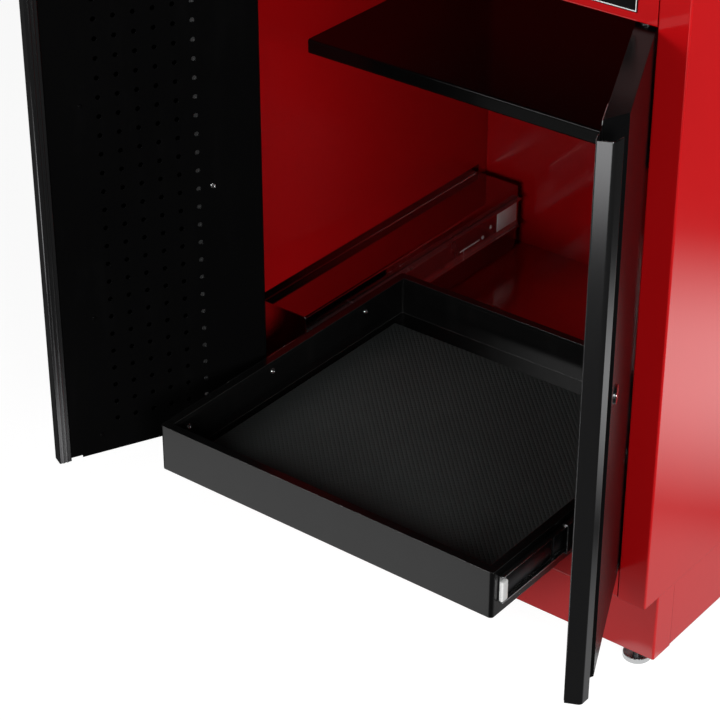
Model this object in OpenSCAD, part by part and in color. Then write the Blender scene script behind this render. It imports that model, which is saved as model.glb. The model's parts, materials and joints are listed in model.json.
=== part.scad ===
// Garage base cabinet: a folded steel carcass on a recessed plinth, two pivoted doors with peg panels
// and full-length pulls, one fixed shelf, and a tray on telescopic slides.
// Millimetres. X runs across the front, Y from front to back, Z up. Everything is drawn from the plane
// of the frame's front. The origin is on the floor, midway between the back and the free edges of the
// open doors. The stored pose has both doors open and the tray pulled out.

/* [Carcass] */
// Width over the side panels
cabinet_w = 692; // [600:1:800]
// Depth from the stile faces to the back
cabinet_d = 635; // [560:1:720]
// Height from the floor to the top
cabinet_h = 952; // [920:1:1050]
// Carcass sheet
sheet_t = 1.2; // [0.9:0.1:1.6]
// Inside radius of each fold
bend_r = 1.5; // [1:0.1:2.5]
// Face width of a stile
stile_w = 40; // [34:1:50]
// Depth of the fold behind a stile
stile_return = 24; // [18:1:30]
// Fold at the back edge of a side panel
back_flange = 20; // [14:1:30]
// Face height of the header over the doors
header_h = 90; // [70:1:110]
// Face height of the rail under the doors
rail_h = 39; // [30:1:50]
// Depth of the folds of the rail and the header
rail_flange = 46; // [44:1:60]
// Depth of the skirt under the top
skirt_h = 18; // [12:1:25]
// Gap at a seam between two panels
seam = 0.3; // [0.2:0.1:0.5]

/* [Plinth and feet] */
// Height of the plinth walls
plinth_h = 97; // [80:1:120]
// Setback of the plinth's front
toe_recess = 31; // [20:1:60]
// Length of the front plinth's side returns
plinth_wrap = 39; // [34:1:60]
// Width of the plinth's bottom fold
plinth_flange = 58; // [54:1:80]
// Clear height under the plinth
foot_clear = 14; // [12:1:30]
// Distance of a foot from the side
foot_in = 30; // [26:1:40]
// Distance of a front foot behind the plinth's front
foot_back = 11; // [10.8:0.1:20]
// Radius of a foot's pad
pad_r = 18; // [12:0.5:20]
// Height of a foot's pad
pad_h = 8; // [6:1:10]
// Radius of a foot's stud
stud_r = 5; // [4:0.5:6]
// Height of the nut that a stud turns in
nut_h = 8; // [6:1:10]

/* [Fixing holes] */
// Radius of a wall-fixing hole
wall_hole_r = 4.5; // [3:0.5:6]
// Spacing of the wall-fixing holes across
wall_hole_x = 500; // [400:1:560]
// Spacing of the wall-fixing holes up
wall_hole_z = 220; // [150:1:300]
// Distance of the upper wall-fixing holes below the top
wall_hole_drop = 92; // [60:1:120]
// Radius of a worktop-fixing hole
top_hole_r = 3.5; // [2.5:0.5:5]
// Spacing of the worktop-fixing holes across
top_hole_x = 560; // [480:1:600]
// Spacing of the worktop-fixing holes front to back
top_hole_y = 480; // [400:1:500]

/* [Shelf] */
// Height of the shelf's top
shelf_z = 608; // [480:1:700]
// Setback of the shelf's front edge
shelf_setback = 208; // [100:1:260]
// Height of the shelf's folded edges
shelf_lip = 20.5; // [15:0.5:30]
// Depth of the hem behind the front edge
shelf_hem = 14; // [10:1:20]
// Shelf sheet
shelf_t = 1.2; // [1:0.1:1.6]
// Side of a shelf clip
clip_size = 16; // [12:1:20]
// Thickness of a shelf clip
clip_t = 2; // [1.5:0.1:2.5]

/* [Doors] */
// Thickness of a door
door_t = 24; // [22:0.5:26]
// Gap beside the stile
door_gap = 4; // [3.5:0.1:5]
// Gap above and below a door
door_gap_z = 3; // [2.8:0.1:5]
// Gap between the closed doors
door_meet = 3; // [2:0.1:6]
// Door sheet
door_sheet = 1; // [0.8:0.1:1.4]
// Radius of the door's upright edges
door_edge_r = 3; // [2.6:0.1:4]
// Width of the fold that the peg panel lies on
door_ledge = 9; // [6:0.5:12]
// Angle that the doors stand open
door_open = 115; // [92:1:119]
// Pivot's distance from the stile
pivot_in = 20; // [19.8:0.1:22]
// Pivot's distance behind the front
pivot_back = 12; // [11:0.1:13]
// Radius of a hinge pin
pin_r = 4; // [3:0.1:5]
// Reach of a hinge pin past the door
pin_reach = 9; // [7:0.5:11]
// Depth of a hinge pin inside the door
pin_root = 16; // [10:1:24]
// Radius of a hinge pin's collar
collar_r = 7; // [6:0.5:8]
// Height of a hinge pin's collar
collar_h = 1.2; // [1:0.1:1.4]
// Wall of a hinge bush
bush_wall = 2.5; // [2:0.1:3]
// Width of a bush's collar
bush_rim = 2; // [1.5:0.1:3]
// Running clearance of a pin
pin_clear = 0.05; // [0.02:0.01:0.1]

/* [Peg panels] */
// Pitch of the peg holes
peg_pitch = 25.4; // [20:0.1:32]
// Radius of a peg hole
peg_r = 3.2; // [2:0.1:4]
// Columns of peg holes
peg_columns = 6; // [3:1:7]
// Least height of panel above the highest row
peg_end = 20; // [15:1:60]
// First column's distance from the hinge edge
peg_first_x = 89.3; // [60:0.1:100]
// Lowest row's height above the door's bottom edge
peg_first_z = 46.8; // [30:0.1:50]

/* [Pulls] */
// Width of the finger bay between the door's box and the pull's edge
pull_w = 32.5; // [30:0.5:40]
// Slope of the door's box behind the pull
pull_slope = 22; // [16:0.5:26]
// Width of the pull's strip on the door's inner side
pull_strip = 16.5; // [14:0.5:20]
// Wall of a pull
pull_t = 2; // [1.6:0.1:2.4]
// Width of the pull's slanted nose
pull_nose = 13; // [10:0.5:16]
// Depth of the pull's slanted nose
pull_nose_y = 6; // [4:0.5:8]
// Distance of the pull's top below the door's top
pull_drop = 8; // [4:0.5:20]
// Height of the pull's two ribs
pull_rib = 0.8; // [0.5:0.1:1]

/* [Catches and lock] */
// Width of a magnetic catch
catch_w = 40; // [30:1:50]
// Depth of a magnetic catch
catch_d = 15; // [12:1:16]
// Height of a magnetic catch
catch_h = 14; // [10:1:18]
// Distance from the middle of the doorway to a catch
catch_in = 58; // [54:1:80]
// Gap between a closed strike and its catch
catch_gap = 1; // [0.8:0.1:3]
// Thickness of a strike
strike_t = 1.5; // [0.8:0.1:2]
// Radius of the lock's face
lock_face_r = 11; // [9:0.5:13]
// Thickness of the lock's face
lock_face_h = 2.5; // [1.5:0.1:4]
// Radius of the lock's barrel
lock_r = 9; // [8:0.1:9.5]
// Radius of the lock's plug
plug_r = 6.5; // [5:0.1:7]
// Distance of the lock from the end of the door's box
lock_in = 54; // [46:1:60]
// Height of the lock above the door's bottom
lock_z = 360; // [300:1:400]
// Radius round the lock without peg holes
lock_land = 19; // [17:1:24]
// Thickness of the lock's nut
lock_nut_h = 3; // [3:0.1:4]
// Width of the lock's cam
cam_w = 16; // [12:0.5:18]
// Thickness of the lock's cam
cam_t = 2.5; // [2:0.1:4]
// Reach of the cam past the door's pull
cam_bite = 6; // [4:0.5:8]

/* [Slide boxes] */
// Height of the boxes' tops
box_top = 255; // [240:1:280]
// Setback of the boxes' fronts
box_front = 106; // [60:1:140]
// Gap between a box and the back
box_end = 22; // [15:1:60]
// Height of the boxes' wall folds
box_fold = 13; // [8:1:25]
// Width of the boxes' floor folds
box_foot = 20; // [12:1:30]

/* [Slides] */
// Height of a slide
slide_h = 45; // [40:0.5:50]
// Thickness of a slide, closed
slide_w = 12.7; // [12:0.1:14]
// Height of a slide's middle
slide_mid = 214; // [205:1:220]
// Slide sheet
slide_t = 1.5; // [1.2:0.1:1.8]
// Play between two slide members
slide_play = 0.3; // [0.2:0.05:0.5]
// Depth of the slide's channels
slide_deep = 8.4; // [7:0.1:9]
// Length of the middle members
slide_mid_len = 480; // [420:1:500]
// Rest position of the middle members' front ends
slide_mid_front = -60; // [-90:1:-40]

/* [Tray] */
// Distance of the tray from the doorway's side
tray_side = 48; // [44:1:70]
// Radius of the tray's upright corners
tray_r = 5; // [3:0.5:8]
// Depth of the tray
tray_d = 508; // [420:1:520]
// Height of the tray
tray_h = 65; // [58:1:90]
// Height of the tray's underside
tray_z = 177; // [168:1:182]
// Tray sheet
tray_t = 1.2; // [1:0.1:1.6]
// Width of the tray's rim
tray_rim = 12; // [8:0.5:16]
// Depth of the hem under the rim
tray_hem = 6; // [4:0.5:9]
// Distance that the tray stands out of the cabinet
tray_out = 202; // [150:1:230]
// Setback of the tray's slide members
tray_slide_back = 12; // [8:1:20]
// Thickness of the mat
mat_t = 2; // [1.5:0.1:4]
// Margin round the mat
mat_margin = 14; // [12.6:0.1:30]
// Bare strip behind the mat
mat_back = 34; // [20:1:60]

/* [Hidden] */
$fn = 48;
eps = 0.01;
body_z = foot_clear + plinth_h;
opening_z = body_z + rail_h;
header_z = cabinet_h - header_h;
opening_h = header_z - opening_z;
opening_w = cabinet_w - 2 * stile_w;
top_z = cabinet_h - sheet_t;
inner_x = cabinet_w / 2 - sheet_t;
back_y = cabinet_d - 2 * sheet_t;
floor_z = opening_z - sheet_t;
door_w = (opening_w - 2 * door_gap - door_meet) / 2;
door_h = opening_h - 2 * door_gap_z;
door_z = opening_z + door_gap_z;
panel_w = door_w - pull_w;
strip_x = door_w - pull_strip;
skin_w = door_w - pull_t - seam;
peg_rows = floor((door_h - peg_first_z - peg_end) / peg_pitch) + 1;
pivot_x = opening_w / 2 - pivot_in;
pivot_u = pivot_in - door_gap;
bush_r = pin_r + pin_clear + bush_wall;
bush_rim_h = door_gap_z - collar_h - seam;
door_reach = sin(door_open) * (door_w - pivot_u) - cos(door_open) * (door_t + pull_t - pivot_back) - pivot_back;
middle_y = (cabinet_d - door_reach) / 2;
wall_hole_mid = cabinet_h - wall_hole_drop - wall_hole_z / 2;
tray_w = opening_w - 2 * tray_side;
tray_x = tray_w / 2;
box_x = tray_x + slide_w;
box_len = back_y - box_end - box_front;
slide_z = slide_mid - slide_h / 2;
foot_x = cabinet_w / 2 - foot_in;
foot_y = toe_recess + foot_back;
lock_u = panel_w - lock_in;
lock_depth = door_t + lock_nut_h;
cam_len = door_w - lock_u + door_meet + cam_bite;
red = [0.62, 0.05, 0.06];
black = [0.06, 0.06, 0.065];
zinc = [0.72, 0.73, 0.74];
grey = [0.2, 0.2, 0.2];

// Folded sheet seen along its folds: the middle line has square corners, each with its inside radius.
module fold(line, t, radii) {
    n = len(line) - 1;
    function way(i) = (line[i + 1] - line[i]) / norm(line[i + 1] - line[i]);
    function trim(i) = i == 0 || i == n ? 0 : radii[i - 1] + t / 2;
    for (i = [0:n - 1]) {
        a = line[i] + way(i) * trim(i);
        b = line[i + 1] - way(i) * trim(i + 1);
        side = [abs(way(i)[1]), abs(way(i)[0])] * t / 2;
        low = [min(a[0], b[0]), min(a[1], b[1])] - side;
        high = [max(a[0], b[0]), max(a[1], b[1])] + side;
        translate(low) square(high - low);
    }
    for (i = [1:n - 1]) {
        r = radii[i - 1];
        mid = line[i] + (way(i) - way(i - 1)) * trim(i);
        corner = mid + (way(i - 1) - way(i)) * (r + t);
        translate(mid) intersection() {
            difference() {
                circle(r = r + t);
                circle(r = r);
            }
            translate([min(0, corner[0] - mid[0]), min(0, corner[1] - mid[1])]) square(r + t);
        }
    }
}

// The same radius at every fold of a line.
function same_r(line, r) = [for (i = [1:len(line) - 2]) r];

// A rectangle with round corners, from its lowest corner.
module round_rect(size, r) {
    translate([r, 0]) square([size[0] - 2 * r, size[1]]);
    translate([0, r]) square([size[0], size[1] - 2 * r]);
    for (x = [r, size[0] - r], y = [r, size[1] - r]) translate([x, y]) circle(r = r);
}

// A profile drawn in Y and Z, run across the cabinet and centred on it.
module across(w) translate([-w / 2, 0, 0]) rotate([90, 0, 90]) linear_extrude(w) children();

// A profile drawn in X and Z, run from y0 towards the back.
module backwards(y0, len) translate([0, y0 + len, 0]) rotate([90, 0, 0]) linear_extrude(len) children();

module at_frame() translate([0, -middle_y, 0]) children();

// A bar of even thickness along a line, round at its ends and corners.
module bar(line, t) {
    for (i = [0:len(line) - 2]) {
        way = line[i + 1] - line[i];
        translate(line[i]) rotate(atan2(way[1], way[0])) translate([0, -t / 2]) square([norm(way), t]);
    }
    for (p = line) translate(p) circle(r = t / 2);
}

module both_sides() {
    children();
    mirror([1, 0, 0]) children();
}

module side_panel() {
    x0 = -cabinet_w / 2 + sheet_t / 2;
    line = [[-cabinet_w / 2 + back_flange, cabinet_d - sheet_t / 2], [x0, cabinet_d - sheet_t / 2],
        [x0, sheet_t / 2], [-opening_w / 2 - sheet_t / 2, sheet_t / 2],
        [-opening_w / 2 - sheet_t / 2, stile_return]];
    translate([0, 0, body_z]) linear_extrude(top_z - body_z) fold(line, sheet_t, same_r(line, bend_r));
}

module left_side_panel() color(red) at_frame() side_panel();

module right_side_panel() color(red) at_frame() mirror([1, 0, 0]) side_panel();

// The rail and the header are channels with the folds towards the back.
module rail(z0, z1) {
    line = [[rail_flange, z0 + sheet_t / 2], [sheet_t / 2, z0 + sheet_t / 2],
        [sheet_t / 2, z1 - sheet_t / 2], [rail_flange, z1 - sheet_t / 2]];
    across(opening_w - 2 * seam) fold(line, sheet_t, same_r(line, bend_r));
}

module pivot_holes(z0, h, r) {
    both_sides() translate([pivot_x, pivot_back, z0]) cylinder(r = r, h = h);
}

module header_rail() color(red) at_frame() difference() {
    rail(header_z, top_z);
    pivot_holes(header_z - 1, sheet_t + 2, bush_r);
}

module bottom_rail() color(red) at_frame() difference() {
    rail(body_z, opening_z);
    pivot_holes(opening_z - sheet_t - 1, sheet_t + 2, bush_r);
}

module top_panel() color(red) at_frame() {
    skirt_x = inner_x - seam - sheet_t;
    y0 = rail_flange + seam;
    difference() {
        translate([-cabinet_w / 2, 0, top_z]) cube([cabinet_w, cabinet_d, sheet_t]);
        for (x = [-1, 1], y = [-1, 1])
            translate([x * top_hole_x / 2, cabinet_d / 2 + y * top_hole_y / 2, top_z - 1])
                cylinder(r = top_hole_r, h = sheet_t + 2);
    }
    both_sides() translate([skirt_x, y0, top_z - skirt_h]) cube([sheet_t, back_y - seam - y0, skirt_h + eps]);
}

module back_panel() color(red) at_frame() difference() {
    x1 = inner_x - bend_r - seam;
    translate([-x1, back_y, body_z]) cube([2 * x1, sheet_t, top_z - body_z]);
    for (x = [-1, 1], z = [-1, 1])
        translate([x * wall_hole_x / 2, back_y - 1, wall_hole_mid + z * wall_hole_z / 2])
            rotate([-90, 0, 0]) cylinder(r = wall_hole_r, h = sheet_t + 2);
}

module floor_panel() color(red) at_frame() {
    x1 = inner_x - seam - sheet_t / 2;
    y0 = pivot_back + bush_r + bush_rim;
    line = [[-x1, floor_z - skirt_h], [-x1, floor_z - sheet_t / 2], [x1, floor_z - sheet_t / 2],
        [x1, floor_z - skirt_h]];
    difference() {
        backwards(y0, back_y - seam - y0) fold(line, sheet_t, same_r(line, bend_r));
        both_sides() translate([opening_w / 2 - seam, y0 - 1, floor_z - skirt_h - 1])
            cube([stile_w, stile_return + seam - y0 + 1, skirt_h + 2]);
    }
}

module foot_hole(x, y) translate([x, y, foot_clear - 1]) cylinder(r = stud_r + seam, h = sheet_t + 2);

module plinth_front() color(red) at_frame() difference() {
    x1 = cabinet_w / 2 - sheet_t / 2;
    y1 = toe_recess + plinth_wrap;
    line = [[-x1, y1], [-x1, toe_recess + sheet_t / 2], [x1, toe_recess + sheet_t / 2], [x1, y1]];
    union() {
        translate([0, 0, foot_clear]) linear_extrude(plinth_h) fold(line, sheet_t, same_r(line, bend_r));
        translate([-x1, toe_recess + bend_r + sheet_t / 2, foot_clear])
            cube([2 * x1, plinth_wrap - bend_r - sheet_t / 2, sheet_t]);
        translate([-x1 + bend_r + sheet_t, toe_recess + sheet_t / 2, foot_clear])
            cube([2 * (x1 - bend_r - sheet_t), plinth_wrap - sheet_t / 2, sheet_t]);
    }
    both_sides() foot_hole(foot_x, foot_y);
}

module plinth_side() difference() {
    x0 = -cabinet_w / 2 + sheet_t / 2;
    y0 = toe_recess + plinth_wrap + seam;
    line = [[x0 + plinth_flange, foot_clear + sheet_t / 2], [x0, foot_clear + sheet_t / 2], [x0, body_z]];
    backwards(y0, cabinet_d - y0) fold(line, sheet_t, same_r(line, bend_r));
    foot_hole(-foot_x, cabinet_d - foot_y);
}

module plinth_left() color(red) at_frame() plinth_side();

module plinth_right() color(red) at_frame() mirror([1, 0, 0]) plinth_side();

module plinth_back() color(red) at_frame() {
    x1 = inner_x - bend_r - seam;
    translate([-x1, back_y, foot_clear + sheet_t]) cube([2 * x1, sheet_t, plinth_h - sheet_t]);
}

module at_feet() at_frame()
    for (x = [-foot_x, foot_x], y = [foot_y, cabinet_d - foot_y]) translate([x, y, 0]) children();

module foot_nuts() color(zinc) at_feet() translate([0, 0, foot_clear + sheet_t]) difference() {
    cylinder(r = stud_r * 1.9, h = nut_h, $fn = 6);
    translate([0, 0, -1]) cylinder(r = stud_r, h = nut_h + 2);
}

module foot_studs() color(grey) at_feet() translate([0, 0, pad_h * 0.6])
    cylinder(r = stud_r, h = foot_clear + sheet_t + nut_h + stud_r - pad_h * 0.6);

// A pad is a shallow cup with a rolled rim.
module foot_pads() color(zinc) at_feet() rotate_extrude()
    polygon([[0, 0], [pad_r - 1, 0], [pad_r, 1], [pad_r, pad_h * 0.9], [pad_r - pad_h * 0.1, pad_h],
        [pad_r - pad_h * 0.25, pad_h], [pad_r - pad_h * 0.35, pad_h * 0.6], [0, pad_h * 0.6]]);

module shelf() color(black) at_frame() {
    y0 = shelf_setback + shelf_t / 2;
    y1 = back_y - seam - shelf_t / 2;
    z1 = shelf_z - shelf_t / 2;
    z0 = shelf_z - shelf_lip + shelf_t / 2;
    line = [[y0 + shelf_hem, z0], [y0, z0], [y0, z1], [y1, z1], [y1, z0 - shelf_t / 2]];
    across(2 * (inner_x - seam)) fold(line, shelf_t, same_r(line, bend_r));
}

module shelf_clips() color(zinc) at_frame() both_sides()
    for (y = [shelf_setback + shelf_hem + clip_size * 2, back_y - clip_size * 3]) {
        line = [[inner_x - clip_size, shelf_z - shelf_t - clip_t / 2],
            [inner_x - clip_t / 2, shelf_z - shelf_t - clip_t / 2],
            [inner_x - clip_t / 2, shelf_z - shelf_t - clip_size]];
        backwards(y, clip_size) fold(line, clip_t, same_r(line, bend_r));
    }

// A folded box on the side wall and the floor carries each slide. Its front is closed.
module slide_box() {
    wall = -inner_x + sheet_t / 2;
    face = -box_x - sheet_t / 2;
    line = [[wall, box_top + box_fold], [wall, box_top - sheet_t / 2], [face, box_top - sheet_t / 2],
        [face, floor_z + sheet_t / 2], [face - box_foot, floor_z + sheet_t / 2]];
    backwards(box_front, box_len) fold(line, sheet_t, same_r(line, bend_r));
    inset = 0.3 * (bend_r + sheet_t);
    translate([-inner_x, box_front, floor_z])
        cube([inner_x - box_x - inset, sheet_t, box_top - inset - floor_z]);
}

module left_slide_box() color(red) at_frame() slide_box();

module right_slide_box() color(red) at_frame() mirror([1, 0, 0]) slide_box();

// One channel of a left slide: web_x and lip_x count from the box's face towards the tray.
module channel(web_x, lip_x, drop, y0, len) {
    t = slide_t;
    z0 = slide_z + drop + t / 2;
    z1 = slide_z + slide_h - drop - t / 2;
    line = [[lip_x, z0], [web_x, z0], [web_x, z1], [lip_x, z1]];
    translate([-box_x, 0, 0]) backwards(y0, len) fold(line, t, same_r(line, 1));
}

module slide_outer() channel(slide_t / 2, slide_deep, 0, box_front, box_len);

module slide_middle() channel(slide_t * 2 + slide_play, slide_w - slide_t - slide_play,
    slide_t + slide_play, slide_mid_front, slide_mid_len);

module slide_inner() channel(slide_w - slide_t / 2, slide_w - slide_deep + slide_t,
    2 * (slide_t + slide_play), -tray_out + tray_slide_back, tray_d - tray_slide_back);

module left_slide_outer() color(zinc) at_frame() slide_outer();

module right_slide_outer() color(zinc) at_frame() mirror([1, 0, 0]) slide_outer();

module left_slide_middle() color(zinc) at_frame() slide_middle();

module right_slide_middle() color(zinc) at_frame() mirror([1, 0, 0]) slide_middle();

module left_slide_inner() color(zinc) at_frame() slide_inner();

module right_slide_inner() color(zinc) at_frame() mirror([1, 0, 0]) slide_inner();

module hinge_bush(z, up) translate([pivot_x, pivot_back, z]) mirror([0, 0, up ? 0 : 1]) difference() {
    union() {
        translate([0, 0, -bush_rim_h]) cylinder(r = bush_r + bush_rim, h = bush_rim_h);
        cylinder(r = bush_r, h = sheet_t + pin_reach);
    }
    translate([0, 0, -bush_rim_h - 1]) cylinder(r = pin_r + pin_clear, h = sheet_t + pin_reach + bush_rim_h + 2);
}

module hinge_bushes() color(grey) at_frame() both_sides() {
    hinge_bush(header_z, true);
    hinge_bush(opening_z, false);
}

module door_catches() color(grey) at_frame() both_sides()
    translate([catch_in - catch_w / 2, door_t + strike_t + catch_gap, header_z - catch_h]) difference() {
        cube([catch_w, catch_d, catch_h]);
        translate([catch_w * 0.2, -1, catch_h * 0.3]) cube([catch_w * 0.6, 3, catch_h * 0.4]);
    }

// Door pieces are drawn closed: x from the hinge edge, y from the outer face, z from the bottom edge.
module hang_left() at_frame() translate([-pivot_x, pivot_back, door_z]) rotate([0, 0, -door_open])
    translate([-pivot_u, -pivot_back, 0]) children();

module hang_right() mirror([1, 0, 0]) hang_left() children();

// The shell is a folded pan whose edges turn in again, to a ledge for the peg panel. Its free end slopes
// back towards the outer face, which leaves room for fingers behind the pull.
function slope_x(y) = panel_w - pull_slope * (1 - y / door_t);

module door_shell() difference() {
    s = door_sheet;
    wall = s * norm([pull_slope, door_t]) / door_t;
    linear_extrude(door_h) difference() {
        round_rect([panel_w + door_t, door_t], door_edge_r);
        polygon([[slope_x(-1), -1], [slope_x(door_t + 1), door_t + 1], [panel_w + 2 * door_t, door_t + 1],
            [panel_w + 2 * door_t, -1]]);
    }
    translate([0, 0, s]) linear_extrude(door_h - 2 * s) polygon([[s, s], [slope_x(s) - wall, s],
        [slope_x(door_t - 2 * s) - wall, door_t - 2 * s], [s, door_t - 2 * s]]);
    translate([s + door_ledge, door_t - 3 * s, s + door_ledge])
        cube([slope_x(door_t - 3 * s) - 2 * (s + door_ledge), 4 * s, door_h - 2 * (s + door_ledge)]);
    translate([door_edge_r, door_t - s, door_edge_r]) cube([panel_w, 2 * s, door_h - 2 * door_edge_r]);
    for (z = [-1, door_h - s - 1]) translate([pivot_u, pivot_back, z]) cylinder(r = pin_r, h = s + 2);
}

// The peg panel reaches past the shell's end and carries the pull.
module peg_panel(land) difference() {
    m = door_edge_r + seam;
    translate([m, door_t - door_sheet, m]) cube([skin_w - m, door_sheet, door_h - 2 * m]);
    for (i = [0:peg_columns - 1], j = [0:peg_rows - 1]) {
        spot = [peg_first_x + i * peg_pitch, peg_first_z + j * peg_pitch];
        if (norm(spot - [lock_u, lock_z]) > land)
            translate([spot[0], door_t + 1, spot[1]]) rotate([90, 0, 0])
                cylinder(r = peg_r, h = door_sheet + 2, $fn = 24);
    }
}

// One extrusion: a ribbed strip on the peg panel, the end wall and a slanted nose.
module pull() {
    y1 = door_t + pull_t / 2;
    x1 = door_w - pull_t / 2;
    line = [[strip_x + pull_t / 2, y1], [x1, y1], [x1, pull_nose_y + pull_t / 2],
        [x1 - pull_nose, pull_t / 2]];
    linear_extrude(door_h - pull_drop) {
        bar(line, pull_t);
        for (k = [0.3, 0.62])
            translate([strip_x + k * pull_strip, door_t + pull_t - eps]) square([pull_t, pull_rib + eps]);
    }
}

module hinge_pin() {
    translate([0, 0, -pin_root]) cylinder(r = pin_r, h = pin_root + pin_reach);
    cylinder(r = collar_r, h = collar_h);
}

module hinge_pins() translate([pivot_u, pivot_back, 0]) {
    translate([0, 0, door_h]) hinge_pin();
    mirror([0, 0, 1]) hinge_pin();
}

module strike() translate([opening_w / 2 - door_gap - catch_in - catch_w / 2, door_t, door_h + door_gap_z - catch_h])
    cube([catch_w, strike_t, catch_h - door_gap_z - door_edge_r]);

module left_door_shell() color(black) hang_left() door_shell();

module left_peg_panel() color(black) hang_left() peg_panel(0);

module left_pull() color(grey) hang_left() pull();

module left_hinge_pins() color(zinc) hang_left() hinge_pins();

module left_strike() color(zinc) hang_left() strike();

// The right door has the lock, so its shell and its peg panel are bored for the barrel.
module lock_bore(r) translate([lock_u, -1, lock_z]) rotate([-90, 0, 0]) cylinder(r = r, h = door_t + 2);

module right_door_shell() color(black) hang_right() difference() {
    door_shell();
    lock_bore(lock_r);
}

module right_peg_panel() color(black) hang_right() difference() {
    peg_panel(lock_land);
    lock_bore(lock_r);
}

module right_pull() color(grey) hang_right() pull();

module right_hinge_pins() color(zinc) hang_right() hinge_pins();

module right_strike() color(zinc) hang_right() strike();

// Lock pieces are drawn about the lock's own axis, from the door's outer face inwards.
module at_lock() hang_right() translate([lock_u, 0, lock_z]) rotate([-90, 0, 0]) children();

module lock_barrel() color(zinc) at_lock() difference() {
    union() {
        translate([0, 0, -lock_face_h]) cylinder(r = lock_face_r, h = lock_face_h);
        cylinder(r = lock_r, h = lock_depth);
    }
    translate([0, 0, -lock_face_h - 1]) cylinder(r = plug_r + pin_clear, h = lock_depth + lock_face_h + 2);
}

module lock_nut() color(zinc) at_lock() translate([0, 0, door_t]) difference() {
    cylinder(r = lock_r * 1.45, h = lock_nut_h, $fn = 6);
    translate([0, 0, -1]) cylinder(r = lock_r, h = lock_nut_h + 2);
}

module lock_plug() color(zinc) at_lock() difference() {
    translate([0, 0, -lock_face_h]) cylinder(r = plug_r, h = lock_face_h + lock_depth + seam);
    translate([-plug_r * 0.12, -plug_r * 0.6, -lock_face_h - 1])
        cube([plug_r * 0.24, plug_r * 1.2, lock_face_h + 4]);
}

module lock_cam() color(zinc) at_lock() translate([0, 0, lock_depth + seam]) linear_extrude(cam_t) {
    circle(r = cam_w / 2);
    translate([-cam_w / 2, -cam_len + cam_w / 4]) square([cam_w, cam_len - cam_w / 4]);
    translate([-cam_w / 4, -cam_len]) square([cam_w / 2, cam_len]);
}

// The tray is one pan with its rim folded in and hemmed.
module tray_pan() color(grey) at_frame() translate([-tray_x, -tray_out, tray_z]) {
    t = tray_t;
    difference() {
        linear_extrude(tray_h) round_rect([tray_w, tray_d], tray_r);
        translate([t, t, t]) linear_extrude(tray_h - 2 * t)
            round_rect([tray_w - 2 * t, tray_d - 2 * t], tray_r - t);
        translate([tray_rim, tray_rim, tray_h - 2 * t])
            cube([tray_w - 2 * tray_rim, tray_d - 2 * tray_rim, 3 * t]);
    }
    translate([0, 0, tray_h - tray_hem]) difference() {
        translate([tray_rim - t, tray_rim - t, 0])
            cube([tray_w - 2 * (tray_rim - t), tray_d - 2 * (tray_rim - t), tray_hem]);
        translate([tray_rim, tray_rim, -1])
            cube([tray_w - 2 * tray_rim, tray_d - 2 * tray_rim, tray_hem + 2]);
    }
}

module tray_mat() color(grey) at_frame()
    translate([-tray_x + mat_margin, -tray_out + mat_margin, tray_z + tray_t])
        cube([tray_w - 2 * mat_margin, tray_d - mat_margin - mat_back, mat_t]);

left_side_panel();
right_side_panel();
header_rail();
bottom_rail();
top_panel();
back_panel();
floor_panel();
plinth_front();
plinth_left();
plinth_right();
plinth_back();
foot_nuts();
foot_studs();
foot_pads();
shelf();
shelf_clips();
left_slide_box();
right_slide_box();
left_slide_outer();
right_slide_outer();
hinge_bushes();
door_catches();
left_door_shell();
left_peg_panel();
left_pull();
left_hinge_pins();
left_strike();
right_door_shell();
right_peg_panel();
right_pull();
right_hinge_pins();
right_strike();
lock_barrel();
lock_nut();
lock_plug();
lock_cam();
tray_pan();
tray_mat();
left_slide_inner();
right_slide_inner();
left_slide_middle();
right_slide_middle();
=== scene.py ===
# Looks of the garage base cabinet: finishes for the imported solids, and the small pieces on them.
import json
import math

import bmesh
import bpy
from mathutils import Matrix, Vector


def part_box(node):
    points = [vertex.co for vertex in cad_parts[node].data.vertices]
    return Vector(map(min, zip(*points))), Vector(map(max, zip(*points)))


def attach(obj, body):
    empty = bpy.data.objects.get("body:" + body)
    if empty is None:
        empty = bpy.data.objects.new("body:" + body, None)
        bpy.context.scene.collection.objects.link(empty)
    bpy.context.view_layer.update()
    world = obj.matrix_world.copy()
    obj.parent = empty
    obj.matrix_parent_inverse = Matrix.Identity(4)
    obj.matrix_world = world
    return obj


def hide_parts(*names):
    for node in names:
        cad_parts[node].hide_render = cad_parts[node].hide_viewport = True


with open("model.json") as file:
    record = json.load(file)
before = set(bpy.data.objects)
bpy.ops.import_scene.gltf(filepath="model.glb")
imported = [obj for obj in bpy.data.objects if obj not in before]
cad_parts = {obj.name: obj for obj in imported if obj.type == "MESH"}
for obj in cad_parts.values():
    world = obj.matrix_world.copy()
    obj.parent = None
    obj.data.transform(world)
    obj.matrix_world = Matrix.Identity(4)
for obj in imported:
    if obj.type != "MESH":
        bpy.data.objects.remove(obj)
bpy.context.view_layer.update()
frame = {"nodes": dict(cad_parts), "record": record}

# Places and sizes of pieces are in millimetres, with y counted from the frame's front plane.
# Pieces of a side are drawn on the left one. The studio and the finishes are in metres.
MM = 0.001
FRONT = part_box("bottom_rail")[0][1]
SIDES = ("left", "right")
SLOT_OF = {part["node"]: part["material_slot"] for part in frame["record"]["subparts"]}
SAME_PLACE = 0.001
SHARP_ANGLE = math.radians(35)
BACKWARD = (0, 1, 0)
INWARD = (1, 0, 0)

# Camera: its place, and in degrees how far it looks down and how far round from the front it stands
CAMERA_PLACE = (1473.8, -2003.95, 1832.05)
CAMERA_DOWN = 31.0015
CAMERA_ROUND = 38.044
LENS = 116.385
SENSOR_WIDTH = 36
VIEW_REACH = 50

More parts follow.
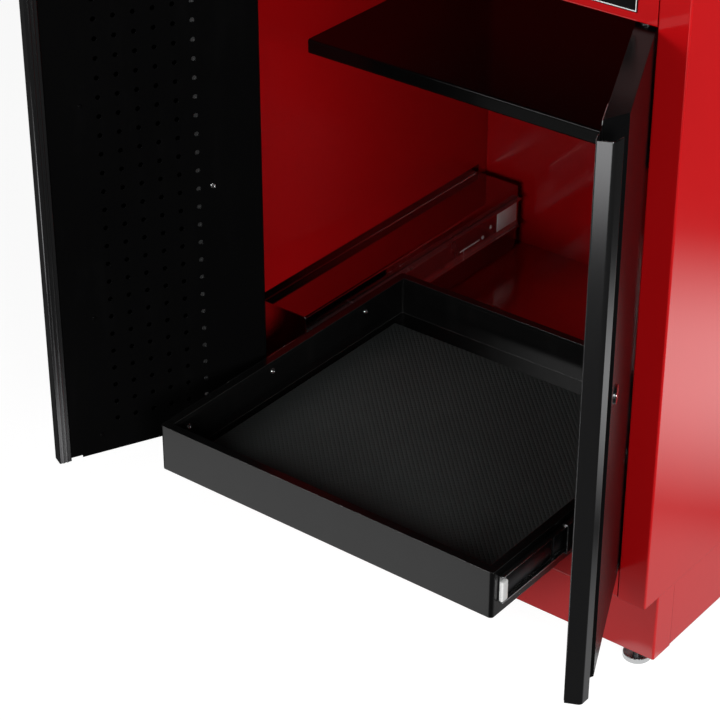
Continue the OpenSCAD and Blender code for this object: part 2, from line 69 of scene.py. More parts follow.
# Studio
FLOOR_REACH = 12
FLOOR_GREY = 0.25
FLOOR_GLOW = 0.9
WORLD_GLOW = 1
WORLD_MIRRORED = 0.2
WORLD_AMBIENT = 0.2
# Painted reflections: glowing ovals on the floor that only mirror rays see, set where they show as
# highlights on the cabinet. Each has its place, how narrow along Y, full and faded distance, level
PAINTED_REFLECTION_PATCHES = (
    ((0.38, -0.1, 0), 1, 0.18, 0.4, 0.3),
    ((0.7, 0.5, 0), 1, 0.05, 0.5, 1.0),
    ((1.1, -2.5, 0), 1, 0.42, 0.85, 1.0),
    ((-0.2, -0.63, 0), 2.4, 0.35, 0.42, 0.9),
    ((-0.6, -0.94, 0), 1, 0.27, 0.33, 0.42),
    ((0.316, -0.15, 0), 1, 0.035, 0.06, 0.9),
)
# Outside the ovals, mirror rays see the floor only at this least level, so its reflection is painted dark
MIRRORED_LEAST = 0.04
# Lamps: place, aim, width, height, power, and whether mirror rays see the lamp
SOFTBOXES = {
    "left_softbox": ((-1.4, -3.1, 2.1), (0, 0, 0.5), 1.6, 1.2, 46, True),
    "front_softbox": ((0.7, -3.4, 1.0), (0, 0, 0.4), 1.2, 1.0, 28, True),
    "bay_softbox": ((2.4, -2.15, 1.2), (-0.2, -0.1, 0.4), 1.0, 1.0, 62, True),
    "right_softbox": ((2.1, 0.35, 0.5), (0.3, 0.05, 0.4), 1.0, 0.8, 36, False),
}

# Heads of screws and rivets, as shares of their radius, and the recess as shares of the head's height
HEAD_SIDES = 20
SCREW_HEIGHT = 0.45
SCREW_TOP = 0.8
SCREW_RIM = 0.24
RIM_RISE = 0.12
RECESS_SLOPE = 0.26
RECESS_DEPTH = 0.55
RIVET_HEIGHT = 0.5
RIVET_TOP = 0.9
RIVET_ROUND = 0.4
RIVET_STEPS = 3

# Header badge: its plate, its black margin, its white rim, and the field sunk inside the rim
BADGE_X = (171, 281)
BADGE_Z = (873, 911)
BADGE_T = 1.6
BADGE_ROUND = 0.5
BADGE_MARGIN = 1
BADGE_RIM = 1.6
BADGE_SLOPE = 0.2
BADGE_SINK = 0.3

# Back screws, as x and z on the back panel's outer face
BACK_Y = 633.8
BACK_SCREWS = ([(x, z) for z in (150, 420, 690, 925) for x in (-325, 325)]
               + [(x, z) for z in (130, 935) for x in (-160, 0, 160)])
BACK_SCREW_R = 4
BACK_SCREW_HEIGHT = 0.9

# Magnets in the two door catches
CATCH_X = (-58, 58)
MAGNET_Z = (851.5, 855.7)
MAGNET_Y = (25.9, 27)
MAGNET_HALF = 13
MAGNET_HEIGHT = 2.6
MAGNET_ROUND = 0.3

# Feet, and the thread on their studs: its lowest point, and its tooth as radius and height
FOOT_X = (-316, 316)
FOOT_Y = (42, 593)
THREAD_FOOT = 7.6
THREAD_TOOTH = ((4.9, 0), (5.6, 0.6), (4.9, 1.2))
THREAD_PITCH = 1.5
THREAD_TURNS = 5
THREAD_STEPS = 24

# The closed left door's hinge edge, foot and thickness, its pivot, and how far the stored doors stand open
DOOR_EDGE_X = -302
DOOR_FOOT = 153
DOOR_T = 24
PIVOT = (-286, 12)
DOOR_OPEN = math.radians(115)
# The pull's corner on the door, its round, and how close a corner's vertices lie before and after merging
PULL_CORNER = (300.5, 6.36)
PULL_ROUND = 3.8
PULL_STEPS = 8
PULL_FLAT = math.radians(0.5)
PULL_NEAR = 1
PULL_MERGED = 0.1
# What is fixed to a door, from its hinge edge, its outer face and its foot
STIFFENER_LINE = ((79, 16), (79, 22.2), (100, 22.2), (100, 16))
STIFFENER_FOOT = 30
STIFFENER_HEIGHT = 646
STIFFENER_SHEET = 0.8
RIVETS = ((240, 27), (240, 203), (240, 497))
RIVET_R = 3
DOOR_SCREW = (69.5, 352)
DOOR_SCREW_R = 3.6

# The mat's studs: width of a stud with its groove, rise, slope at its edges, and the turn of their rows
STUD = 5.6
STUD_RISE = 0.55
STUD_SLOPE = 1.5
STUD_TURN = math.radians(45)
MAT_MERGE = 0.005

# Left slide: faces along x, heights of the dark strips on its web and of its rear plate, and the screws as
# y and z
TRAY_WALL_X = -256.8
STOP_X = (-264.6, -259.1)
DARK_STRIP_X = (-260.6, -259.1)
OUTER_X = (-269.5, -268.7)
STRIP_AND_PLATE_Z = (199, 229)
TRAY_SCREWS = ((-150, 214), (18, 217), (220, 218))
OUTER_SCREWS = ((540, 214), (520, 205))

# Finishes: colour, the colour that edges and rubs turn to, roughness from clean to rubbed, and what
# differs from the plain finish. Rubs are wear. The lighter edges are a painted highlight on tray_grey and
# shelf_black, partly wear and partly a painted highlight on zinc_steel, and wear on the others.
FINISHES = {
    "red_enamel": dict(colour=(0.44, 0.003, 0.0045), sheen_and_wear_colour=(0.5, 0.01, 0.012), rough=(0.22, 0.34),
                       coat=1.0, coat_rough=0.08, drift=0.05, rubs=0.12, edge_wear_and_sheen=0.25, edge_radius=0.0009),
    "black_enamel": dict(colour=(0.0024, 0.0024, 0.0025), sheen_and_wear_colour=(0.006, 0.006, 0.006), rough=(0.25, 0.36),
                         specular=0.03, rubs=0.25, edge_wear_and_sheen=0.4),
    "pull_grey": dict(colour=(0.24, 0.24, 0.245), sheen_and_wear_colour=(0.3, 0.3, 0.3), rough=(0.14, 0.22), metal=1.0,
                      drift=0.12, rubs=0.12, edge_wear_and_sheen=0.15, stretch=(1, 1, 0.03)),
    # Its lighter edges are a painted highlight, along the shelf lip's top edge
    "shelf_black": dict(colour=(0.002, 0.002, 0.002), sheen_and_wear_colour=(0.01, 0.01, 0.01), rough=(0.14, 0.26),
                        specular=0.16, rubs=0.2, edge_wear_and_sheen=0.7, edge_radius=0.0014),
    # Its lighter edges are a painted highlight along the tray's edges
    "tray_grey": dict(colour=(0.003, 0.003, 0.003), sheen_and_wear_colour=(0.05, 0.05, 0.048), rough=(0.22, 0.32),
                      drift=0.1, rubs=0.06, edge_wear_and_sheen=0.8, edge_radius=0.0012),
    "mat_rubber": dict(colour=(0.034, 0.0385, 0.0375), sheen_and_wear_colour=(0.055, 0.061, 0.059), rough=(0.7, 0.85),
                       specular=0.25, peel_size=900.0, peel_depth=0.00008, drift=0.15, rubs=0.35),
    "black_plastic": dict(colour=(0.008, 0.008, 0.008), sheen_and_wear_colour=(0.02, 0.02, 0.02), rough=(0.5, 0.6),
                          specular=0.3, drift=0.15, edge_wear_and_sheen=0.3),
    "lock_chrome": dict(colour=(0.75, 0.75, 0.76), sheen_and_wear_colour=(0.6, 0.6, 0.6), rough=(0.12, 0.25), metal=1.0,
                        drift=0.04, rubs=0.2, edge_wear_and_sheen=0.1, edge_radius=0.0004),
    "dark_steel": dict(colour=(0.09, 0.09, 0.095), sheen_and_wear_colour=(0.2, 0.2, 0.2), rough=(0.4, 0.55), metal=1.0,
                       drift=0.15, edge_wear_and_sheen=0.4),
    # Its lighter edges are partly wear and partly a painted highlight along the slides' edges
    "zinc_steel": dict(colour=(0.58, 0.585, 0.59), sheen_and_wear_colour=(0.75, 0.75, 0.75), rough=(0.26, 0.38), metal=1.0,
                       peel_size=700.0, peel_depth=0.00001, drift=0.1, rubs=0.3, edge_wear_and_sheen=0.3,
                       edge_radius=0.0004, stretch=(1, 0.05, 1)),
    "box_plate": dict(colour=(0.42, 0.42, 0.425), sheen_and_wear_colour=(0.5, 0.5, 0.5), rough=(0.1, 0.2), metal=1.0,
                      drift=0.08, rubs=0.15, edge_wear_and_sheen=0.15, edge_radius=0.0006),
    # A white finish that is not metal, standing in for zinc: a painted highlight on the slide parts that
    # catch the light
    "zinc_painted_glint": dict(colour=(0.85, 0.85, 0.84), sheen_and_wear_colour=(0.7, 0.7, 0.69), rough=(0.3, 0.42),
                         drift=0.04, rubs=0.2, edge_wear_and_sheen=0.2, edge_radius=0.0004),
    "plate_black": dict(colour=(0.004, 0.004, 0.004), sheen_and_wear_colour=(0.02, 0.02, 0.02), rough=(0.25, 0.35),
                        specular=0.4, drift=0.15, rubs=0.2, edge_wear_and_sheen=0.3, edge_radius=0.0003),
    "plate_white": dict(colour=(0.72, 0.72, 0.71), sheen_and_wear_colour=(0.6, 0.6, 0.59), rough=(0.3, 0.4),
                        specular=0.4, drift=0.03, rubs=0.2, edge_wear_and_sheen=0.2, edge_radius=0.0003),
}


def at(x, y, z):
    """A place in the row frame, from millimetres off the frame's front plane."""
    return Vector((x * MM, FRONT + y * MM, z * MM))


def on_door(u, y, z):
    """A place on the closed left door: u from its hinge edge, y from its outer face, z from its foot."""
    return at(DOOR_EDGE_X + u, y, DOOR_FOOT + z)


# Nodes

def feed(tree, value, socket):
    """Links an output to a socket, or sets a plain value on it."""
    if isinstance(value, bpy.types.NodeSocket):
        tree.links.new(value, socket)
    else:
        socket.default_value = value


def math_node(tree, operation, *values, clamp=False):
    node = tree.nodes.new("ShaderNodeMath")
    node.operation = operation
    node.use_clamp = clamp
    for value, socket in zip(values, node.inputs):
        feed(tree, value, socket)
    return node.outputs[0]


def vector_node(tree, operation, *values):
    node = tree.nodes.new("ShaderNodeVectorMath")
    node.operation = operation
    for value, socket in zip(values, node.inputs):
        feed(tree, value, socket)
    return node


def range_node(tree, value, start, end, low=0, high=1, ease="LINEAR"):
    """Maps a value's range from start to end onto low to high."""
    node = tree.nodes.new("ShaderNodeMapRange")
    node.interpolation_type = ease
    for label, number in (("From Min", start), ("From Max", end), ("To Min", low), ("To Max", high)):
        node.inputs[label].default_value = number
    tree.links.new(value, node.inputs["Value"])
    return node.outputs[0]


def colour_mix(tree, factor, first, second):
    node = tree.nodes.new("ShaderNodeMix")
    node.data_type = "RGBA"
    for label, value in (("Factor", factor), ("A", first), ("B", second)):
        feed(tree, value, node.inputs[label])
    return node.outputs["Result"]


def noise_node(tree, vector, scale, detail, rough=0.5):
    node = tree.nodes.new("ShaderNodeTexNoise")
    for label, value in (("Vector", vector), ("Scale", scale), ("Detail", detail), ("Roughness", rough)):
        feed(tree, value, node.inputs[label])
    return node.outputs[0]


def group_node(tree, group, values):
    """A shared effect placed in a material with its own values."""
    node = tree.nodes.new("ShaderNodeGroup")
    node.node_tree = group
    for label, value in values.items():
        feed(tree, value, node.inputs[label])
    return node


# Camera, floor and lights

def make_camera():
    data = bpy.data.cameras.new("photo_camera")
    data.sensor_width = SENSOR_WIDTH
    data.lens = LENS
    data.clip_end = VIEW_REACH
    camera = bpy.data.objects.new("photo_camera", data)
    camera.location = at(*CAMERA_PLACE)
    camera.rotation_euler = (math.radians(90 - CAMERA_DOWN), 0, math.radians(CAMERA_ROUND))
    bpy.context.scene.collection.objects.link(camera)
    bpy.context.scene.camera = camera


def make_softbox(name, place, aim, width, height, power, mirrored):
    data = bpy.data.lights.new(name, "AREA")
    data.shape = "RECTANGLE"
    data.size = width
    data.size_y = height
    data.energy = power
    lamp = bpy.data.objects.new(name, data)
    lamp.location = place
    lamp.rotation_euler = (Vector(aim) - Vector(place)).to_track_quat("-Z", "Y").to_euler()
    lamp.visible_camera = False
    lamp.visible_glossy = mirrored
    bpy.context.scene.collection.objects.link(lamp)


def seen_level(tree, straight, mirrored, least):
    """A glow for camera and glass rays, a weaker one for mirror rays, and a least level for the rest."""
    path = tree.nodes.new("ShaderNodeLightPath")
    clear = math_node(tree, "MAXIMUM", path.outputs["Is Camera Ray"], path.outputs["Is Transmission Ray"])
    shown = math_node(tree, "MULTIPLY", clear, straight)
    mirror = math_node(tree, "MULTIPLY", path.outputs["Is Glossy Ray"], mirrored)
    both = math_node(tree, "MAXIMUM", shown, mirror)
    return math_node(tree, "MAXIMUM", both, least)


def painted_reflection_oval(tree, middle, narrow, near, far):
    """A painted-reflection oval on the floor, seen only by mirror rays: 1 out to the near distance, and
    falling off to 0 at the far one.
    """
    where = tree.nodes.new("ShaderNodeTexCoord")
    offset = vector_node(tree, "SUBTRACT", where.outputs["Object"], middle)
    oval = vector_node(tree, "MULTIPLY", offset.outputs["Vector"], (1, narrow, 1))
    away = vector_node(tree, "LENGTH", oval.outputs["Vector"])
    return range_node(tree, away.outputs["Value"], near, far, low=1, high=0, ease="SMOOTHSTEP")


def make_floor():
    """A pale floor that keeps shadows. Mirror rays see it instead as a glow without them: a dim least
    level with brighter painted-reflection ovals.
    """
    bm = bmesh.new()
    bmesh.ops.create_grid(bm, x_segments=1, y_segments=1, size=FLOOR_REACH)
    floor = object_from(bm, "studio_floor")
    material = bpy.data.materials.new("studio_floor")
    material.use_nodes = True
    tree = material.node_tree
    nodes, links = tree.nodes, tree.links
    nodes.clear()
    out = nodes.new("ShaderNodeOutputMaterial")
    diffuse = nodes.new("ShaderNodeBsdfDiffuse")
    diffuse.inputs["Color"].default_value = (FLOOR_GREY, FLOOR_GREY, FLOOR_GREY, 1)
    glow = nodes.new("ShaderNodeEmission")
    # What mirror rays see: the least level, raised by the painted-reflection ovals
    mirrored = MIRRORED_LEAST
    for middle, narrow, near, far, level in PAINTED_REFLECTION_PATCHES:
        reflection_patch = painted_reflection_oval(tree, middle, narrow, near, far)
        scaled = math_node(tree, "MULTIPLY", reflection_patch, level)
        mirrored = math_node(tree, "MAXIMUM", scaled, mirrored)
    links.new(seen_level(tree, FLOOR_GLOW, mirrored, 0), glow.inputs["Strength"])
    add = nodes.new("ShaderNodeAddShader")
    links.new(diffuse.outputs[0], add.inputs[0])
    links.new(glow.outputs[0], add.inputs[1])
    path = nodes.new("ShaderNodeLightPath")
    bare = nodes.new("ShaderNodeMixShader")
    links.new(path.outputs["Is Glossy Ray"], bare.inputs[0])
    links.new(add.outputs[0], bare.inputs[1])
    links.new(glow.outputs[0], bare.inputs[2])
    links.new(bare.outputs[0], out.inputs["Surface"])
    floor.data.materials.append(material)


def make_world():
    world = bpy.data.worlds.new("studio")
    bpy.context.scene.world = world
    world.use_nodes = True
    tree = world.node_tree
    level = seen_level(tree, WORLD_GLOW, WORLD_MIRRORED, WORLD_AMBIENT)
    tree.links.new(level, tree.nodes["Background"].inputs["Strength"])


def make_stage():
    make_floor()
    make_world()
    for name, row in SOFTBOXES.items():
        make_softbox(name, *row)
    bpy.context.scene.view_settings.view_transform = "Standard"


# Shared surface effects

def group_with(name, inputs, outputs):
    """An empty node group. An input without a value of its own is a vector."""
    group = bpy.data.node_groups.new(name, "ShaderNodeTree")
    for label, value in inputs.items():
        kind = "NodeSocketVector" if value is None else "NodeSocketFloat"
        socket = group.interface.new_socket(name=label, in_out="INPUT", socket_type=kind)
        if value is not None:
            socket.default_value = value
    for label, kind in outputs.items():
        group.interface.new_socket(name=label, in_out="OUTPUT", socket_type="NodeSocket" + kind)
    start = group.nodes.new("NodeGroupInput")
    end = group.nodes.new("NodeGroupOutput")
    return group, start.outputs, end.inputs


def make_paint_skin():
    """Sprayed paint: the peel of the lacquer as a height, and a slow drift of tone."""
    group, given, put = group_with("paint_skin", {"Vector": None, "Peel Size": 420.0, "Drift Size": 5.0},
                                   {"Height": "Float", "Drift": "Float"})
    peel = noise_node(group, given["Vector"], given["Peel Size"], detail=2)
    drift = noise_node(group, given["Vector"], given["Drift Size"], detail=3)
    group.links.new(peel, put["Height"])
    group.links.new(drift, put["Drift"])
    return group


def make_fine_rubs():
    """Faint upright rubs and dust from handling, as a mask that stays low over most of the surface."""
    group, given, put = group_with("fine_rubs", {"Vector": None, "Size": 30.0, "Amount": 0.5},
                                   {"Mask": "Float"})
    upright = group.nodes.new("ShaderNodeMapping")
    upright.inputs["Scale"].default_value = (1, 1, 0.22)
    group.links.new(given["Vector"], upright.inputs["Vector"])
    cloud = noise_node(group, upright.outputs[0], given["Size"], detail=7, rough=0.68)
    peaks = range_node(group, cloud, start=0.52, end=0.8)
    group.links.new(math_node(group, "MULTIPLY", peaks, given["Amount"]), put["Mask"])
    return group


def make_soft_edge():
    """A rounded normal over sharp edges, and a mask along them."""
    group, given, put = group_with("soft_edge", {"Radius": 0.0008}, {"Normal": "Vector", "Edge": "Float"})
    bevel = group.nodes.new("ShaderNodeBevel")
    bevel.samples = 4
    group.links.new(given["Radius"], bevel.inputs["Radius"])
    facing = group.nodes.new("ShaderNodeNewGeometry")
    dot = vector_node(group, "DOT_PRODUCT", bevel.outputs[0], facing.outputs["Normal"])
    group.links.new(bevel.outputs[0], put["Normal"])
    group.links.new(range_node(group, dot.outputs["Value"], start=0.99, end=0.8), put["Edge"])
    return group


def finish(name, colour, sheen_and_wear_colour, rough, metal=0.0, specular=0.5, coat=0.0, coat_rough=0.1, peel_size=420.0,
           peel_depth=0.00002, drift=0.2, rubs=0.4, edge_wear_and_sheen=0.5, edge_radius=0.0008, stretch=(1, 1, 1)):
    """One finish: colour with a slow drift, turned towards a second colour on edges and in rubs. The rubs
    are wear. The edges are wear, and on some finishes also a painted highlight.
    """
    material = bpy.data.materials.new(name)
    material.use_nodes = True
    tree = material.node_tree
    nodes, links = tree.nodes, tree.links
    bsdf = nodes["Principled BSDF"]
    bsdf.inputs["Metallic"].default_value = metal
    bsdf.inputs["Specular IOR Level"].default_value = specular
    bsdf.inputs["Coat Weight"].default_value = coat
    bsdf.inputs["Coat Roughness"].default_value = coat_rough
    where = nodes.new("ShaderNodeTexCoord")
    mapping = nodes.new("ShaderNodeMapping")
    mapping.inputs["Scale"].default_value = stretch
    links.new(where.outputs["Object"], mapping.inputs["Vector"])
    skin = group_node(tree, PAINT_SKIN, {"Vector": mapping.outputs[0], "Peel Size": peel_size})
    rub = group_node(tree, FINE_RUBS, {"Vector": where.outputs["Object"], "Amount": rubs})
    soft = group_node(tree, SOFT_EDGE, {"Radius": edge_radius})
    darker = [c * (1 - drift) for c in colour] + [1]
    lighter = [min(1, c * (1 + drift)) for c in colour] + [1]
    tone = colour_mix(tree, skin.outputs["Drift"], darker, lighter)
    # Edge mask and rubs: the edges are a painted highlight on tray_grey and shelf_black, partly one on
    # zinc_steel, and wear on the rest
    wear_and_sheen = math_node(tree, "MULTIPLY_ADD", soft.outputs["Edge"], edge_wear_and_sheen, rub.outputs["Mask"], clamp=True)
    links.new(colour_mix(tree, wear_and_sheen, tone, list(sheen_and_wear_colour) + [1]), bsdf.inputs["Base Color"])
    gloss = range_node(tree, rub.outputs["Mask"], 0, 1, *rough)
    links.new(gloss, bsdf.inputs["Roughness"])
    bump = nodes.new("ShaderNodeBump")
    bump.inputs["Distance"].default_value = peel_depth
    links.new(skin.outputs["Height"], bump.inputs["Height"])
    links.new(soft.outputs["Normal"], bump.inputs["Normal"])
    links.new(bump.outputs[0], bsdf.inputs["Normal"])
    return material


def dress_cad():
    for name, piece in frame["nodes"].items():
        piece.data.materials.clear()
        piece.data.materials.append(FINISH[SLOT_OF[name]])


# Meshes

def object_from(bm, name):
    mesh = bpy.data.meshes.new(name)
    bm.to_mesh(mesh)
    bm.free()
    piece = bpy.data.objects.new(name, mesh)
    bpy.context.scene.collection.objects.link(piece)
    return piece


def add_piece(bm, name, body, slot, looks=None, smooth=True):
    """A finished bmesh as a piece that rides on a body, with its slot's look unless others are named."""
    bmesh.ops.recalc_face_normals(bm, faces=bm.faces)
    piece = object_from(bm, name)
    for look in looks or [slot]:
        piece.data.materials.append(FINISH[look])
    if smooth:
        piece.data.shade_smooth()
        piece.data.set_sharp_from_angle(angle=SHARP_ANGLE)
    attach(piece, body)
    return piece


def copy_of(node):
    """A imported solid's mesh, merged."""
    bm = bmesh.new()
    bm.from_mesh(frame["nodes"][node].data)
    bmesh.ops.remove_doubles(bm, verts=bm.verts, dist=SAME_PLACE * MM)
    return bm


def mirror_to(bm, side):
    if side == "right":
        bmesh.ops.scale(bm, vec=(-1, 1, 1), verts=bm.verts)


def door_turn():
    """The turn from the closed left door to where it stands open."""
    pivot = at(*PIVOT, 0)
    return Matrix.Translation(pivot) @ Matrix.Rotation(-DOOR_OPEN, 4, "Z") @ Matrix.Translation(-pivot)


def hang(bm, side, name, slot):
    """Adds what was drawn on the closed left door to the open door on that side."""
    bmesh.ops.transform(bm, matrix=door_turn(), verts=bm.verts)
    mirror_to(bm, side)
    add_piece(bm, f"{side}_{name}", side + "_door", slot)


def new_of(made, kind):
    return [each for each in made["geom"] if isinstance(each, kind)]


def round_edges(bm, edges, radius, segments):
    return bmesh.ops.bevel(bm, geom=edges, offset=radius, offset_type="OFFSET", segments=segments,
                           profile=0.5, affect="EDGES", material=-1, clamp_overlap=True)


def block(bm, low, high, rounding, segments=2):
    """A box from corner to corner with its edges rounded."""
    made = bmesh.ops.create_cube(bm, size=1)["verts"]
    bmesh.ops.scale(bm, vec=high - low, verts=made)
    bmesh.ops.translate(bm, vec=(low + high) / 2, verts=made)
    edges = list(dict.fromkeys(e for v in made for e in v.link_edges))
    round_edges(bm, edges, rounding * MM, segments)


def stub(bm, radius, top_radius, height):
    """A short cone that stands on the origin. Its top face is given back."""
    made = bmesh.ops.create_cone(bm, cap_ends=True, segments=HEAD_SIDES, radius1=radius,
                                 radius2=top_radius, depth=height)["verts"]
    bmesh.ops.translate(bm, vec=(0, 0, height / 2), verts=made)
    return max({f for v in made for f in v.link_faces}, key=lambda f: f.calc_center_median().z)


def seat(bm, old, place, normal):
    """Puts what was made since old, standing on the origin, at a place and facing along a normal."""
    new = [v for v in bm.verts if v not in old]
    turn = Vector((0, 0, 1)).rotation_difference(Vector(normal)).to_matrix().to_4x4()
    bmesh.ops.transform(bm, matrix=Matrix.Translation(place) @ turn, verts=new)


def screw_head(bm, place, normal, radius, height=None):
    """A domed screw head with a round recess, seated at a place and facing along a normal."""
    old = set(bm.verts)
    radius = radius * MM
    height = height * MM if height else radius * SCREW_HEIGHT
    top = stub(bm, radius, radius * SCREW_TOP, height)
    bmesh.ops.inset_region(bm, faces=[top], thickness=radius * SCREW_RIM, depth=height * RIM_RISE)
    bmesh.ops.inset_region(bm, faces=[top], thickness=radius * RECESS_SLOPE, depth=-height * RECESS_DEPTH)
    seat(bm, old, place, normal)


def rivet(bm, place, normal, radius):
    """A low round rivet head."""
    old = set(bm.verts)
    radius = radius * MM
    top = stub(bm, radius, radius * RIVET_TOP, radius * RIVET_HEIGHT)
    round_edges(bm, list(top.edges), radius * RIVET_ROUND, RIVET_STEPS)
    seat(bm, old, place, normal)


def folded_strip(bm, line, height, thickness):
    """A strip of sheet folded along a line of places, standing up to a height."""
    corners = [bm.verts.new(place) for place in line]
    edges = [bm.edges.new(pair) for pair in zip(corners, corners[1:])]
    made = bmesh.ops.extrude_edge_only(bm, edges=edges)
    bmesh.ops.translate(bm, vec=(0, 0, height * MM), verts=new_of(made, bmesh.types.BMVert))
    faces = new_of(made, bmesh.types.BMFace)
    bmesh.ops.recalc_face_normals(bm, faces=faces)
    bmesh.ops.solidify(bm, geom=faces, thickness=thickness * MM)


# Cabinet body

def make_badge_plate():
    """A bare black plate with a white rim, in the place for a badge on the header."""
    bm = bmesh.new()
    block(bm, at(BADGE_X[0], -BADGE_T, BADGE_Z[0]), at(BADGE_X[1], 0, BADGE_Z[1]), BADGE_ROUND)
    face = min(bm.faces, key=lambda f: (round(f.calc_center_median().y, 5), -f.calc_area()))
    bmesh.ops.inset_region(bm, faces=[face], thickness=BADGE_MARGIN * MM, depth=0)
    bmesh.ops.inset_region(bm, faces=[face], thickness=BADGE_RIM * MM, depth=0)
    rim = {f for e in face.edges for f in e.link_faces} - {face}
    for each in rim:
        each.material_index = 1
    bmesh.ops.inset_region(bm, faces=[face], thickness=BADGE_SLOPE * MM, depth=-BADGE_SINK * MM)
    add_piece(bm, "badge_plate", "cabinet", "black_enamel", looks=["plate_black", "plate_white"])


def make_back_screws():
    bm = bmesh.new()
    for x, z in BACK_SCREWS:
        screw_head(bm, at(x, BACK_Y, z), BACKWARD, BACK_SCREW_R, BACK_SCREW_HEIGHT)
    add_piece(bm, "back_screws", "cabinet", "zinc_steel")


def make_catch_magnets():
    bm = bmesh.new()
    for x in CATCH_X:
        for z in MAGNET_Z:
            low = at(x - MAGNET_HALF, MAGNET_Y[0], z)
            high = at(x + MAGNET_HALF, MAGNET_Y[1], z + MAGNET_HEIGHT)
            block(bm, low, high, MAGNET_ROUND)
    add_piece(bm, "catch_magnets", "cabinet", "zinc_steel")


def make_foot_threads():
    """The thread on each foot's stud, where it shows between the plinth and the pad."""
    bm = bmesh.new()
    step = (0, 0, THREAD_PITCH * MM / THREAD_STEPS)
    for x in FOOT_X:
        for y in FOOT_Y:
            tooth = [bm.verts.new(at(x + out, y, THREAD_FOOT + up)) for out, up in THREAD_TOOTH]
            face = bm.faces.new(tooth)
            bmesh.ops.spin(bm, geom=tooth + list(face.edges) + [face], cent=at(x, y, 0), axis=(0, 0, 1),
                           dvec=step, angle=math.tau * THREAD_TURNS, steps=THREAD_STEPS * THREAD_TURNS)
    add_piece(bm, "foot_threads", "cabinet", "dark_steel")


# Doors

def make_pull(side):
    """The door's pull, with a wide round where its end wall turns into its slanted nose."""
    bm = copy_of(side + "_pull")
    bmesh.ops.dissolve_limit(bm, angle_limit=PULL_FLAT, verts=bm.verts, edges=bm.edges)
    corner = door_turn() @ on_door(*PULL_CORNER, 0)
    if side == "right":
        corner.x = -corner.x
    near = [v for v in bm.verts if (v.co.xy - corner.xy).length < PULL_NEAR * MM]
    middle = sum(v.co.z for v in near) / len(near)
    for end in ([v for v in near if v.co.z < middle], [v for v in near if v.co.z > middle]):
        bmesh.ops.pointmerge(bm, verts=end, merge_co=(corner.x, corner.y, end[0].co.z))
    merged = {v for v in bm.verts if (v.co.xy - corner.xy).length < PULL_MERGED * MM}
    upright = max((e for e in bm.edges if merged.issuperset(e.verts)), key=lambda e: e.calc_length())
    for each in round_edges(bm, [upright], PULL_ROUND * MM, PULL_STEPS)["faces"]:
        each.smooth = True
    pull = add_piece(bm, side + "_round_pull", side + "_door", "pull_grey", smooth=False)
    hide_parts(side + "_pull")


def make_door_pieces(side):
    bm = bmesh.new()
    line = [on_door(u, y, STIFFENER_FOOT) for u, y in STIFFENER_LINE]
    folded_strip(bm, line, STIFFENER_HEIGHT, STIFFENER_SHEET)
    hang(bm, side, "door_stiffener", "zinc_steel")
    bm = bmesh.new()
    for u, z in RIVETS:
        rivet(bm, on_door(u, DOOR_T, z), BACKWARD, RIVET_R)
    hang(bm, side, "door_rivets", "black_enamel")
    bm = bmesh.new()
    u, z = DOOR_SCREW
    screw_head(bm, on_door(u, DOOR_T, z), BACKWARD, DOOR_SCREW_R)
    hang(bm, side, "door_screw", "zinc_steel")


# Tray and slides

def make_tray_mat():
    """A loose rubber mat with a field of small raised squares set cornerwise, cut off at its edges."""
    bm = bmesh.new()
    low, high = (Vector(corner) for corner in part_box("tray_mat"))
    size, middle = high - low, (low + high) / 2
    stud, rise = STUD * MM, STUD_RISE * MM
    field = size.length + 2 * stud
    count = round(field / stud)
    bmesh.ops.create_grid(bm, x_segments=count, y_segments=count, size=field / 2)
    bmesh.ops.rotate(bm, cent=(0, 0, 0), matrix=Matrix.Rotation(STUD_TURN, 3, "Z"), verts=bm.verts)
    bmesh.ops.translate(bm, vec=(middle.x, middle.y, high.z - rise), verts=bm.verts)
    bmesh.ops.inset_individual(bm, faces=bm.faces[:], thickness=STUD_SLOPE * MM, depth=rise)
    for place, away in ((low, (-1, 0, 0)), (low, (0, -1, 0)), (high, (1, 0, 0)), (high, (0, 1, 0))):
        whole = bm.verts[:] + bm.edges[:] + bm.faces[:]
        bmesh.ops.bisect_plane(bm, geom=whole, dist=SAME_PLACE * MM, plane_co=place, plane_no=away,
                               clear_outer=True)
    bmesh.ops.remove_doubles(bm, verts=bm.verts, dist=MAT_MERGE * MM)
    rim = [e for e in bm.edges if e.is_boundary]
    made = bmesh.ops.extrude_edge_only(bm, edges=rim)
    foot = new_of(made, bmesh.types.BMVert)
    bmesh.ops.scale(bm, vec=(1, 1, 0), verts=foot)
    bmesh.ops.translate(bm, vec=(0, 0, low.z), verts=foot)
    loop = [e for e in new_of(made, bmesh.types.BMEdge) if e.is_boundary]
    bmesh.ops.contextual_create(bm, geom=loop)
    mat = add_piece(bm, "ribbed_mat", "tray", "mat_rubber")
    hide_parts("tray_mat")


def make_slide_box(side):
    """The box behind a slide, in the plated steel that mirrors the wall beside it."""
    bm = copy_of(side + "_slide_box")
    box = add_piece(bm, side + "_plated_box", "cabinet", "zinc_steel", looks=["box_plate"], smooth=False)
    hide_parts(side + "_slide_box")


def slide_screws(side, name, body, look, x, places, radius, height):
    """Screws in an upright face of a slide."""
    bm = bmesh.new()
    for y, z in places:
        screw_head(bm, at(x, y, z), INWARD, radius, height)
    mirror_to(bm, side)
    add_piece(bm, f"{side}_{name}", body, "zinc_steel", looks=[look])


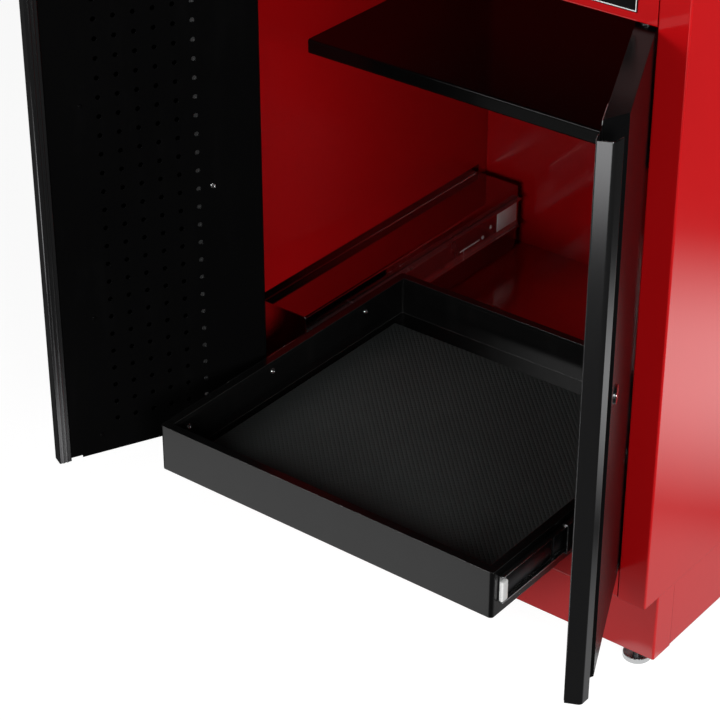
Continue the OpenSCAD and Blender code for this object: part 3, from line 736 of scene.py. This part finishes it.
def slide_blocks(side, name, body, slot, look, x, spans, rounding, segments=2):
    """Blocks on an upright face of a slide, each with its span along y and z."""
    bm = bmesh.new()
    for y, z in spans:
        block(bm, at(x[0], y[0], z[0]), at(x[1], y[1], z[1]), rounding, segments)
    mirror_to(bm, side)
    add_piece(bm, f"{side}_{name}", body, slot, looks=[look])


def make_slide_pieces(side):
    slide_screws(side, "tray_screws", "tray", "zinc_steel", TRAY_WALL_X, TRAY_SCREWS, radius=4, height=1.6)
    # The stop, the rear plate, the thin strip and the outer screws use the white finish, which paints
    # their highlight instead of zinc
    slide_blocks(side, "slide_stop", "tray", "zinc_steel", "zinc_painted_glint", STOP_X,
                 [((-190, -179), (196.6, 224))], rounding=1.2, segments=4)
    # Dark steel strips over the inner slide's web: the long one is painted shade inside the channel, and
    # the front one is also a dark lever
    slide_blocks(side, "slide_dark_strip", "tray", "dark_steel", "dark_steel", DARK_STRIP_X,
                 [((-176, -84), STRIP_AND_PLATE_Z), ((-78, 290), STRIP_AND_PLATE_Z)], rounding=0.6)
    slide_blocks(side, "slide_plate", "cabinet", "zinc_steel", "zinc_painted_glint", OUTER_X,
                 [((556, 606), STRIP_AND_PLATE_Z)], rounding=0.3)
    # A thin white strip in the outer slide's channel: a painted highlight line
    slide_blocks(side, "slide_highlight_strip", "cabinet", "zinc_steel", "zinc_painted_glint", OUTER_X,
                 [((462, 512), (203, 205.5))], rounding=0.3)
    slide_screws(side, "slide_screws", "cabinet", "zinc_painted_glint", OUTER_X[0], OUTER_SCREWS, radius=3.4,
                 height=0.8)


make_camera()
make_stage()
PAINT_SKIN = make_paint_skin()
FINE_RUBS = make_fine_rubs()
SOFT_EDGE = make_soft_edge()
FINISH = {name: finish(name, **values) for name, values in FINISHES.items()}
dress_cad()
make_badge_plate()
make_back_screws()
make_catch_magnets()
make_foot_threads()
for door_side in SIDES:
    make_pull(door_side)
    make_door_pieces(door_side)
    make_slide_box(door_side)
    make_slide_pieces(door_side)
make_tray_mat()
